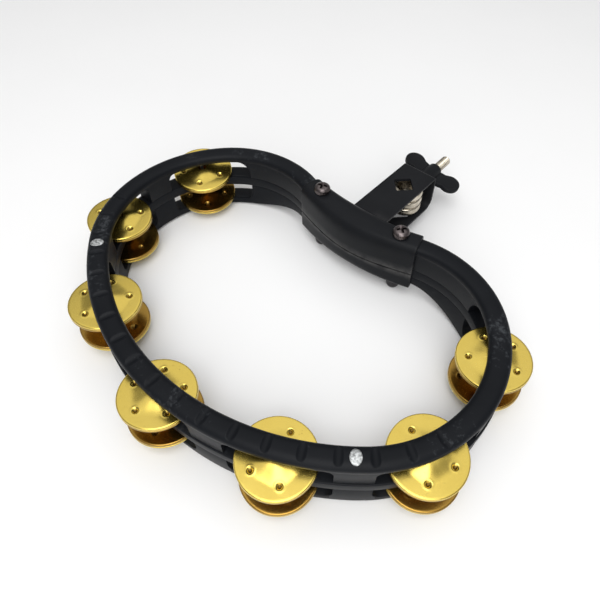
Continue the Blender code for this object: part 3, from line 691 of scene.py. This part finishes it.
def build_jingles():
    """Each fine jingle lies where its CAD jingle lies, turned a little differently on its pin."""
    fine = {"top": jingle_mesh("jingle_up", 1.0), "bottom": jingle_mesh("jingle_down", -1.0)}
    count = 0
    for number, station in enumerate(STATIONS, start=1):
        at, out = rim_point(station), rim_outward(station).to_3d()
        along = Vector((-out.y, out.x, 0.0))
        tilt = radians(STATION_TILTS[number - 1])
        along_shift, out_shift = STATION_SHIFTS[number - 1]
        shift = (along * along_shift + out * out_shift) * MM
        for row, floor in (("lower", SLOT_FLOOR), ("upper", CAD_BAND_TOP)):
            middle = RIM_BASE + floor + LIP_GAP + reach_in_slot(tilt) + 0.5 * LIP_GAP
            centre = at.to_3d() + shift + Vector((0.0, 0.0, middle))
            place = Matrix.Translation(centre) @ Matrix.Rotation(tilt, 4, along)
            for end in ("bottom", "top"):
                name = f"jingle_{number}_{row}_{end}"
                spin = SPINS[number - 1][row == "lower"] + (0.0 if end == "top" else BOTTOM_TURN)
                mesh = fine[end].copy()
                mesh.transform(place @ Matrix.Rotation(radians(spin), 4, "Z"))
                # The jingles facing each other between the rows get the darkened brass: painted shade.
                shaded_between_rows = (row, end) in (("lower", "top"), ("upper", "bottom"))
                tone = SHADED_BRASS if shaded_between_rows else BRASSES[count % len(BRASSES)]
                finish_piece(name + "_fine", mesh, tone, name, (name,), 50.0)
                count += 1


PIN_SEGMENTS = 24
# (radius, height above the rim's base) in mm, from the pin's foot to its top
PIN_PROFILE = ((0.4, 0.6), (1.45, 0.7), (1.5, 1.0), (1.5, 46.3), (1.3, 46.5), (0.4, 46.5))


def build_pins():
    for number, station in enumerate(STATIONS, start=1):
        at = rim_point(station)
        rings = [[(x, y, RIM_BASE + height * MM) for x, y in circle(radius * MM, PIN_SEGMENTS, at)]
                 for radius, height in PIN_PROFILE]
        name = f"jingle_pin_{number}"
        add_piece(name + "_fine", loft(rings), PIN_STEEL, replaces=(name,))


# ---------------------------------------------------------------- clamp covers

COVER_END_HALF = 9.2 * MM
COVER_INNER_BULGE = 2.9 * MM
COVER_OUTER_BULGE = 2.0 * MM
COVER_SHEET = 1.5 * MM
COVER_TOP = 52.0 * MM
COVER_BOTTOM = 9.5 * MM
PARTING = 26.0 * MM
PARTING_HALF = 0.8 * MM
SCREW_OFFSET = 35.2 * MM
BRACKET_LOW = 12.0 * MM
BRACKET_HIGH = 42.5 * MM
BRACKET_HALF = 14.6 * MM
WINDOW_GAP = 0.3 * MM
SCREW_HOLE = 3.4 * MM
COVER_STEPS = 44
# (along the cover, drawn in) in mm
COVER_END_STEPS = ((0.0, 0.45), (0.12, 0.22), (0.30, 0.07), (0.55, 0.0))


def superellipse_half(half_width, crown, corner, power, steps=14):
    points = []
    for k in range(steps + 1):
        a = 0.5 * pi * k / steps
        across = half_width * cos(a) ** (2.0 / power)
        points.append((across, crown - corner * (1.0 - sin(a) ** (2.0 / power))))
    return points


def cover_skin(bump, inset, crown, parting, inner_corner, outer_corner, power):
    inner = COVER_END_HALF + COVER_INNER_BULGE * bump - inset
    outer = COVER_END_HALF + COVER_OUTER_BULGE * bump - inset
    left = [(-u, z) for u, z in superellipse_half(inner, crown, inner_corner, power)]
    right = superellipse_half(outer, crown, outer_corner, power)[:-1]
    return [(-inner, parting)] + left + right[::-1] + [(outer, parting)]


def cover_section(station, up, shrink):
    """Section of a cover's sheet; shrink draws the outer skin in, to round the ends."""
    bump = cos(0.5 * pi * min(1.0, abs(station - CLAMP_STATION) / CLAMP_HALF)) ** 2
    if up > 0:
        crown, parting = COVER_TOP, PARTING + PARTING_HALF
        corners = (11.0 * MM + 3.0 * MM * bump, 8.0 * MM, 3.0)
    else:
        crown, parting = COVER_BOTTOM, PARTING - PARTING_HALF
        corners = (-(5.0 * MM + 6.0 * MM * bump), -3.0 * MM, 4.0 - 1.2 * bump)
    outside = cover_skin(bump, shrink, crown - up * shrink, parting, *corners)
    inside = cover_skin(bump, COVER_SHEET, crown - up * COVER_SHEET, parting, *corners)
    return outside + inside[::-1]


def cutter(shape):
    tool = bpy.data.objects.new("cutter", mesh_of(shape, "cutter"))
    bpy.context.scene.collection.objects.link(tool)
    return tool


def carve(mesh, shapes, operation="DIFFERENCE"):
    """Cut shapes from a mesh, or join them to it, with exact Booleans and return the new mesh."""
    body = bpy.data.objects.new("carved", mesh)
    bpy.context.scene.collection.objects.link(body)
    tools = []
    for shape in shapes:
        tool = cutter(shape)
        modifier = body.modifiers.new("cut", "BOOLEAN")
        modifier.operation = operation
        modifier.solver = "EXACT"
        modifier.object = tool
        tools.append(tool)
    bpy.context.view_layer.update()
    evaluated = body.evaluated_get(bpy.context.evaluated_depsgraph_get())
    result = bpy.data.meshes.new_from_object(evaluated)
    for tool in tools + [body]:
        bpy.data.objects.remove(tool, do_unlink=True)
    return result


def rod(radius, low, high, at, segments=40):
    """Plain cylinder along Z."""
    return loft([[(x, y, level) for x, y in circle(radius, segments, at)] for level in (low, high)])


def rod_along_y(radius, low, high, at, segments=40):
    return loft([[(x, level, z) for x, z in circle(radius, segments, at)] for level in (low, high)])


def block(low, high):
    (x0, y0, z0), (x1, y1, z1) = low, high
    return loft([[(x0, y0, z), (x1, y0, z), (x1, y1, z), (x0, y1, z)] for z in (z0, z1)])


def cover_stations():
    """(station, shrink) along a cover: even steps, and a rounded edge at both ends."""
    start, end = CLAMP_STATION - CLAMP_HALF, CLAMP_STATION + CLAMP_HALF
    stations = [(start + a * MM, b * MM) for a, b in COVER_END_STEPS]
    for k in range(1, COVER_STEPS):
        stations.append((CLAMP_STATION + CLAMP_HALF * (2.0 * k / COVER_STEPS - 1.0), 0.0))
    return stations + [(end - a * MM, b * MM) for a, b in reversed(COVER_END_STEPS)]


def build_covers():
    """Both covers, with their screw holes and the window that the bracket comes out of."""
    wall = BRACKET_Y + WALL_HALF + 1.8 * MM
    half = BRACKET_HALF + WINDOW_GAP
    window = ((CLAMP_SHIFT - half, wall, RIM_BASE + BRACKET_LOW - WINDOW_GAP),
              (CLAMP_SHIFT + half, wall + 12.0 * MM, RIM_BASE + BRACKET_HIGH + WINDOW_GAP))
    for name, up in (("clamp_cover_upper", 1.0), ("clamp_cover_lower", -1.0)):
        mesh = mesh_of(loft([on_rim(s, cover_section(s, up, b)) for s, b in cover_stations()]), name)
        tools = [rod(SCREW_HOLE, RIM_BASE - 6.0 * MM, RIM_BASE + RIM_HEIGHT + 6.0 * MM, rim_point(s))
                 for s in (CLAMP_STATION - SCREW_OFFSET, CLAMP_STATION + SCREW_OFFSET)]
        tools.append(block(*window))
        finish_piece(name + "_fine", carve(mesh, tools), COVER_COAT, "root", (name,), 32.0)


# ---------------------------------------------------------------- screws

FASTENER_SEGMENTS = 48
NUT_BORE = 3.35 * MM
SHANK_RADIUS = 3.0 * MM
HEAD_EDGE = 0.3 * MM
HEAD_STEPS = 12
RECESS_LEVELS = ((-3.0 * MM, 1.9 * MM, 0.55 * MM), (0.6 * MM, 4.3 * MM, 1.05 * MM))
WASHER_SOFT = 0.2 * MM
WASHER_STEPS = 60
WASHER_SPLIT = 8.0


def cross_recess(z_top):
    """Four-winged tapered driver recess."""
    shapes = []
    for turn in (0.0, 0.5 * pi):
        rings = []
        for level, long, wide in RECESS_LEVELS:
            corners = [(-long, -wide), (long, -wide), (long, wide), (-long, wide)]
            rings.append([(x * cos(turn) - y * sin(turn), x * sin(turn) + y * cos(turn), z_top + level)
                          for x, y in corners])
        shapes.append(loft(rings))
    return shapes


def build_screw(side, at, spin, head):
    """Pan-head screw whose head stands on the given level."""
    low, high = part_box(f"clamp_screw_{side}")
    radius = 0.5 * (high.x - low.x)
    tall = high.z - head
    foot = low.z + 0.1 * MM
    profile = [(0.5 * MM, foot), (2.6 * MM, foot), (SHANK_RADIUS, low.z + 0.6 * MM), (SHANK_RADIUS, head),
               (radius - HEAD_EDGE, head), (radius, head + HEAD_EDGE)]
    for k in range(1, HEAD_STEPS):
        a = 0.5 * pi * k / HEAD_STEPS
        profile.append((radius * cos(a) ** 0.75, head + HEAD_EDGE + (tall - 0.32 * MM) * sin(a) ** 0.85))
    profile.append((0.3 * MM, high.z))
    shape = loft([[(x, y, z) for x, y in circle(r, FASTENER_SEGMENTS)] for r, z in profile])
    mesh = carve(mesh_of(shape, "screw"), cross_recess(high.z))
    mesh.transform(Matrix.Translation((at.x, at.y, 0.0)) @ Matrix.Rotation(spin, 4, "Z"))
    finish_piece(f"clamp_screw_{side}_fine", mesh, SCREW_PLATE, "root", (f"clamp_screw_{side}",),
                 35.0)


def build_washer(side, at, low, high):
    """Split lock washer."""
    outer = 0.5 * (high.x - low.x)
    corners = [(NUT_BORE, low.z), (outer, low.z), (outer, high.z), (NUT_BORE, high.z)]
    section = rounded_polygon(corners, [WASHER_SOFT] * 4, 3)
    rings = []
    for k in range(WASHER_STEPS + 1):
        a = radians(WASHER_SPLIT + (360.0 - 2.0 * WASHER_SPLIT) * k / WASHER_STEPS)
        rings.append([(at.x + r * cos(a), at.y + r * sin(a), z) for r, z in section])
    add_piece(f"lock_washer_{side}_fine", loft(rings), SCREW_PLATE, replaces=(f"lock_washer_{side}",))


def build_nut(side, at):
    """Flanged nut with a domed end, as seen under the clamp."""
    low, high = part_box(f"clamp_nut_{side}")
    radius = 0.5 * (high.x - low.x)
    profile = [(NUT_BORE, low.z), (0.55 * radius, low.z + 0.02 * MM)]
    for k in range(1, 9):
        a = 0.5 * pi * k / 8
        profile.append((radius * (0.55 + 0.37 * sin(a)), low.z + 4.6 * MM * (1.0 - cos(a)) ** 0.9))
    profile += [(0.92 * radius, high.z - 1.5 * MM), (radius - 0.1 * MM, high.z - 1.3 * MM),
                (radius, high.z - 1.1 * MM), (radius, high.z - 0.1 * MM),
                (radius - 0.1 * MM, high.z), (NUT_BORE, high.z)]
    shape = turned(profile, FASTENER_SEGMENTS)
    shape.transform(Matrix.Translation((at.x, at.y, 0.0)))
    add_piece(f"clamp_nut_{side}_fine", shape, NUT_BLACK, replaces=(f"clamp_nut_{side}",))


def build_screws():
    """Each clamp screw with its lock washer and nut."""
    for side, offset, spin in (("left", SCREW_OFFSET, 0.35), ("right", -SCREW_OFFSET, 0.85)):
        at = rim_point(CLAMP_STATION + offset)
        washer_low, washer_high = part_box(f"lock_washer_{side}")
        build_screw(side, at, spin, washer_high.z + 0.3 * MM)
        build_washer(side, at, washer_low, washer_high)
        build_nut(side, at)


# ---------------------------------------------------------------- bracket

BRACKET_REACH = 84.0 * MM
BRACKET_SHEET = 2.2 * MM
LOWER_BEND = 9.0 * MM
UPPER_BEND = 3.5 * MM
ROD_HOLE_REACH = 59.2 * MM
ROD_HOLE_SIDE = 13.2 * MM
BOLT_HOLE = 4.4 * MM
BOLT_Z = RIM_BASE + 0.5 * (BRACKET_LOW + BRACKET_HIGH)
BRACKET_BEVEL = 0.35 * MM
FOOT_BACK = 6.75 * MM
FOOT_FRONT = 8.25 * MM
FOOT_STEPS = 16


def strap_outline(inset):
    low, high = RIM_BASE + BRACKET_LOW + inset, RIM_BASE + BRACKET_HIGH - inset
    end = BRACKET_Y + BRACKET_REACH - inset
    lower, upper = LOWER_BEND - inset, UPPER_BEND - inset
    start = BRACKET_Y + WALL_HALF + 1.5 * MM
    points = [(start, low), (start + 20.0 * MM, low), (start + 50.0 * MM, low)]
    points += arc_points((end - lower, low + lower), lower, -90.0, 0.0, 12)
    points += arc_points((end - upper, high - upper), upper, 0.0, 90.0, 10)
    return points + [(start + 50.0 * MM, high), (start + 20.0 * MM, high), (start, high)]


def strap():
    """The bent strap, its edges bevelled, as a row of loops across its width."""
    bevels = ((0.0, BRACKET_BEVEL), (0.3 * BRACKET_BEVEL, 0.3 * BRACKET_BEVEL), (BRACKET_BEVEL, 0.0))
    stops = [(-BRACKET_HALF + along, inset) for along, inset in bevels] + [(0.0, 0.0)]
    stops += [(BRACKET_HALF - along, inset) for along, inset in reversed(bevels)]
    rings = []
    for x, inset in stops:
        ring = strap_outline(inset) + strap_outline(BRACKET_SHEET - inset)[::-1]
        rings.append([(CLAMP_SHIFT + x, y, z) for y, z in ring])
    return loft(rings)


def bracket_foot():
    """Plate that follows the rim behind the covers."""
    low, high = BRACKET_LOW + 1.3 * MM, BRACKET_HIGH - 0.6 * MM
    corners = [(FOOT_BACK, low), (FOOT_FRONT, low), (FOOT_FRONT, high), (FOOT_BACK, high)]
    section = rounded_polygon(corners, [0.2 * MM] * 4, 2)
    half = FOOT_STEPS // 2
    return loft([on_rim(CLAMP_STATION + FOOT_HALF * (k - half) / half, section)
                 for k in range(FOOT_STEPS + 1)])


def build_bracket():
    rod_y, corner = BRACKET_Y + ROD_HOLE_REACH, ROD_HOLE_SIDE / sqrt(2.0)
    corners = [(0.0, rod_y - corner), (corner, rod_y), (0.0, rod_y + corner), (-corner, rod_y)]
    diamond = rounded_polygon(corners, [0.9 * MM] * 4, 4)
    hole = loft([[(CLAMP_SHIFT + x, y, z) for x, y in diamond] for z in (RIM_BASE, RIM_BASE + RIM_HEIGHT)])
    wall_y = BRACKET_Y + BRACKET_REACH
    bolt_hole = rod_along_y(BOLT_HOLE, wall_y - 6.0 * MM, wall_y + 6.0 * MM, (CLAMP_SHIFT, BOLT_Z))
    joined = carve(mesh_of(strap(), "strap"), [bracket_foot()], "UNION")
    mesh = carve(joined, [hole, bolt_hole])
    finish_piece("mounting_bracket_fine", mesh, BRACKET_COAT, "root", ("mounting_bracket",),
                 30.0)


EYE_REACH = 64.7 * MM
EYE_BORE = 7.6 * MM
EYE_RADIUS = 13.4 * MM
EYE_HEIGHT = 21.0 * MM
EYE_BANDS = 3
BOLT_RADIUS = 4.0 * MM
THREAD_PITCH = 1.25 * MM
THREAD_DEPTH = 0.62 * MM
THREAD_STEPS = 8.0
THREAD_SEGMENTS = 40
BOLT_TIP_REACH = 126.4 * MM
BAND_STEPS = 12


def build_eye_bolt():
    """Eye of three rounded bands and a shank with a cut thread."""
    centre = Vector((CLAMP_SHIFT, BRACKET_Y + EYE_REACH, BOLT_Z))
    band = EYE_HEIGHT / EYE_BANDS
    profile = []
    for k in range(EYE_BANDS):
        low = -0.5 * EYE_HEIGHT + k * band
        for j in range(BAND_STEPS + 1):
            a = radians(-90.0 + 180.0 * j / BAND_STEPS)
            profile.append((EYE_RADIUS - 2.3 * MM * (1.0 - cos(a) ** 0.7),
                            low + 0.5 * band * (1.0 + 0.96 * sin(a))))
    bore = [(EYE_BORE + 0.5 * MM, 0.1 * MM), (EYE_BORE + 0.1 * MM, 0.5 * MM), (EYE_BORE, 1.0 * MM)]
    profile += [(r, 0.5 * EYE_HEIGHT - deep) for r, deep in bore]
    profile += [(r, -0.5 * EYE_HEIGHT + deep) for r, deep in reversed(bore)]
    eye = turned(profile, 96)
    eye.transform(Matrix.Translation(centre))
    start = centre.y + EYE_BORE + 2.0 * MM
    thread_start, tip = centre.y + EYE_RADIUS + 2.0 * MM, BRACKET_Y + BOLT_TIP_REACH
    neck = rod_along_y(BOLT_RADIUS - 0.1 * MM, start, thread_start + 0.5 * MM, (CLAMP_SHIFT, BOLT_Z), 48)
    mesh = carve(mesh_of(eye, "eye"), [neck], "UNION")
    finish_piece("eye_bolt_fine", mesh, NICKEL, "eye_bolt", ("eye_bolt",), 35.0)
    add_piece("eye_bolt_thread", threaded_shank(thread_start, tip), NICKEL, "eye_bolt", (), 60.0)


def threaded_shank(start, tip):
    """Shank whose surface follows the thread's helix, with a chamfered tip."""
    axis = (CLAMP_SHIFT, BOLT_Z)
    levels = int((tip - start) / (THREAD_PITCH / THREAD_STEPS))
    rings = [[(x, start, z) for x, z in circle(0.2 * MM, THREAD_SEGMENTS, axis)]]
    for i in range(levels + 1):
        y = start + (tip - start) * i / levels
        chamfer = max(0.0, 1.3 * MM - (tip - y)) * 0.8
        ring = []
        for k in range(THREAD_SEGMENTS):
            a = 2.0 * pi * k / THREAD_SEGMENTS
            phase = ((y - start) / THREAD_PITCH + k / THREAD_SEGMENTS) % 1.0
            groove = THREAD_DEPTH * (1.0 - abs(2.0 * phase - 1.0)) ** 1.2
            r = BOLT_RADIUS - max(groove, chamfer)
            ring.append((CLAMP_SHIFT + r * cos(a), y, BOLT_Z + r * sin(a)))
        rings.append(ring)
    rings.append([(x, tip, z) for x, z in circle(0.3 * MM, THREAD_SEGMENTS, axis)])
    return loft(rings)


WING_ANGLE = radians(10.0)
WING_LENGTH = 25.0 * MM
WING_SEGMENTS = 64
LOBE_HALF = 1.9 * MM
LOBE_RADIUS = 8.5 * MM
LOBE_CENTRE_X = 17.8 * MM
LOBE_CENTRE_Y = 19.2 * MM
LOBE_INNER_X = 5.2 * MM
# (share of the outline, share of half the thickness), from the border to the dished middle
LOBE_PROFILE = ((1.0, 0.55), (0.985, 0.85), (0.94, 1.0), (0.86, 0.99), (0.80, 0.90), (0.74, 0.72),
                (0.55, 0.66), (0.25, 0.64))


def build_wing_nut():
    """Tapered barrel with two paddle lobes that have raised borders and dished faces."""
    base = BRACKET_Y + BRACKET_REACH + 0.3 * MM
    tip = base + WING_LENGTH
    bore = BOLT_RADIUS + 0.3 * MM
    outline = [(bore, base), (7.3 * MM, base), (7.6 * MM, base + 0.35 * MM), (7.6 * MM, base + 2.4 * MM),
               (7.35 * MM, base + 3.4 * MM), (6.75 * MM, base + 12.0 * MM), (6.3 * MM, tip - 3.0 * MM),
               (6.05 * MM, tip - 1.3 * MM), (5.5 * MM, tip - 0.4 * MM), (4.8 * MM, tip), (bore, tip)]
    rings = []
    for k in range(WING_SEGMENTS):
        a = 2.0 * pi * k / WING_SEGMENTS
        rings.append([(r * cos(a), y, r * sin(a)) for r, y in outline])
    barrel = mesh_of(loft(rings, closed=True), "barrel")
    lobes = [wing_lobe(side, base + LOBE_CENTRE_Y) for side in (-1.0, 1.0)]
    mesh = carve(barrel, lobes, "UNION")
    mesh.transform(Matrix.Translation((CLAMP_SHIFT, 0.0, BOLT_Z)) @ Matrix.Rotation(WING_ANGLE, 4, "Y"))
    finish_piece("wing_nut_fine", mesh, WING_COAT, "wing_nut", ("wing_nut",), 40.0)


def wing_lobe(side, centre_y):
    """One paddle, as a stack of scaled outlines from the middle of one face over the border to the other."""
    edge = [(LOBE_INNER_X, centre_y - 11.5 * MM), (10.2 * MM, centre_y - 9.4 * MM)]
    edge += arc_points((LOBE_CENTRE_X, centre_y), LOBE_RADIUS, -112.0, 118.0, 28)
    edge += [(10.2 * MM, centre_y + 5.2 * MM), (LOBE_INNER_X, centre_y + 4.4 * MM)]
    middle_x, middle_y = 14.5 * MM, centre_y - 0.8 * MM
    levels = [(share, -level) for share, level in LOBE_PROFILE[::-1]] + list(LOBE_PROFILE)
    rings = []
    for share, level in levels:
        rings.append([(side * (middle_x + (x - middle_x) * share), middle_y + (y - middle_y) * share,
                       level * LOBE_HALF) for x, y in edge])
    return loft(rings)


# ---------------------------------------------------------------- stage

FLOOR_HALF = 6.0


def build_stage():
    level = CAD_BOX[0][2] - 0.2 * MM
    floor = bpy.data.meshes.new("floor")
    shape = bmesh.new()
    corners = ((-1.0, -1.0), (1.0, -1.0), (1.0, 1.0), (-1.0, 1.0))
    shape.faces.new([shape.verts.new((FLOOR_HALF * x, FLOOR_HALF * y, level)) for x, y in corners])
    shape.to_mesh(floor)
    shape.free()
    material, tree, shader, coords = start_material("floor_paper")
    tone = mix_colour(tree, noise(tree, coords, 8.0, 2.0), (0.93, 0.93, 0.93), (0.96, 0.96, 0.96))
    tree.links.new(tone, shader.inputs["Base Color"])
    shader.inputs["Roughness"].default_value = 0.9
    shader.inputs["Specular IOR Level"].default_value = 0.1
    floor.materials.append(material)
    plane = bpy.data.objects.new("floor", floor)
    bpy.context.scene.collection.objects.link(plane)


def area_light(name, place, target, size, power):
    """Square soft box at a place, aimed at a target."""
    light = bpy.data.lights.new(name, "AREA")
    light.shape = "RECTANGLE"
    light.size = light.size_y = size
    light.energy = power
    lamp = bpy.data.objects.new(name, light)
    direction = Vector(target) - Vector(place)
    lamp.matrix_world = Matrix.Translation(place) @ direction.to_track_quat("-Z", "Y").to_matrix().to_4x4()
    bpy.context.scene.collection.objects.link(lamp)


def build_lights():
    world = bpy.data.worlds.new("studio")
    bpy.context.scene.world = world
    world.use_nodes = True
    background = world.node_tree.nodes["Background"]
    background.inputs["Color"].default_value = (1.0, 1.0, 1.0, 1.0)
    background.inputs["Strength"].default_value = 0.22
    area_light("top_softbox", (-0.12, 0.14, 1.30), (-0.12, 0.14, 0.0), 2.1, 7.6)
    area_light("key_softbox", (0.30, -0.40, 1.22), (0.0, 0.0, 0.0), 0.8, 4.4)
    area_light("fill_softbox", (1.15, -1.35, 1.15), (0.0, 0.0, 0.0), 1.9, 17.0)
    bpy.context.scene.view_settings.exposure = 0.40
    bpy.context.scene.view_settings.view_transform = "Standard"


def build_camera():
    """Camera close above the front right of the rim."""
    azimuth, elevation, roll = radians(40.06), radians(50.84), radians(1.06)
    distance = 337.4 * MM
    target = Vector((26.0 * MM, FRONT_Y + 114.7 * MM, RIM_BASE + RIM_HEIGHT))
    back = Vector((sin(azimuth) * cos(elevation), -cos(azimuth) * cos(elevation), sin(elevation)))
    right = Vector((0.0, 0.0, 1.0)).cross(back).normalized()
    up = back.cross(right)
    rolled_right = right * cos(roll) + up * sin(roll)
    rolled_up = up * cos(roll) - right * sin(roll)
    data = bpy.data.cameras.new("camera")
    data.sensor_width = 36.0
    data.lens = 31.69
    data.shift_x = -0.0391
    data.shift_y = -0.0284
    data.clip_start = 0.01
    camera = bpy.data.objects.new("camera", data)
    matrix = Matrix((rolled_right, rolled_up, back)).transposed().to_4x4()
    camera.matrix_world = Matrix.Translation(target + distance * back) @ matrix
    bpy.context.scene.collection.objects.link(camera)
    bpy.context.scene.camera = camera


build_camera()
build_stage()
build_lights()
build_upper_rim()
build_lower_rim()
build_band()
build_rivets()
build_jingles()
build_pins()
build_covers()
build_screws()
build_bracket()
build_eye_bolt()
build_wing_nut()
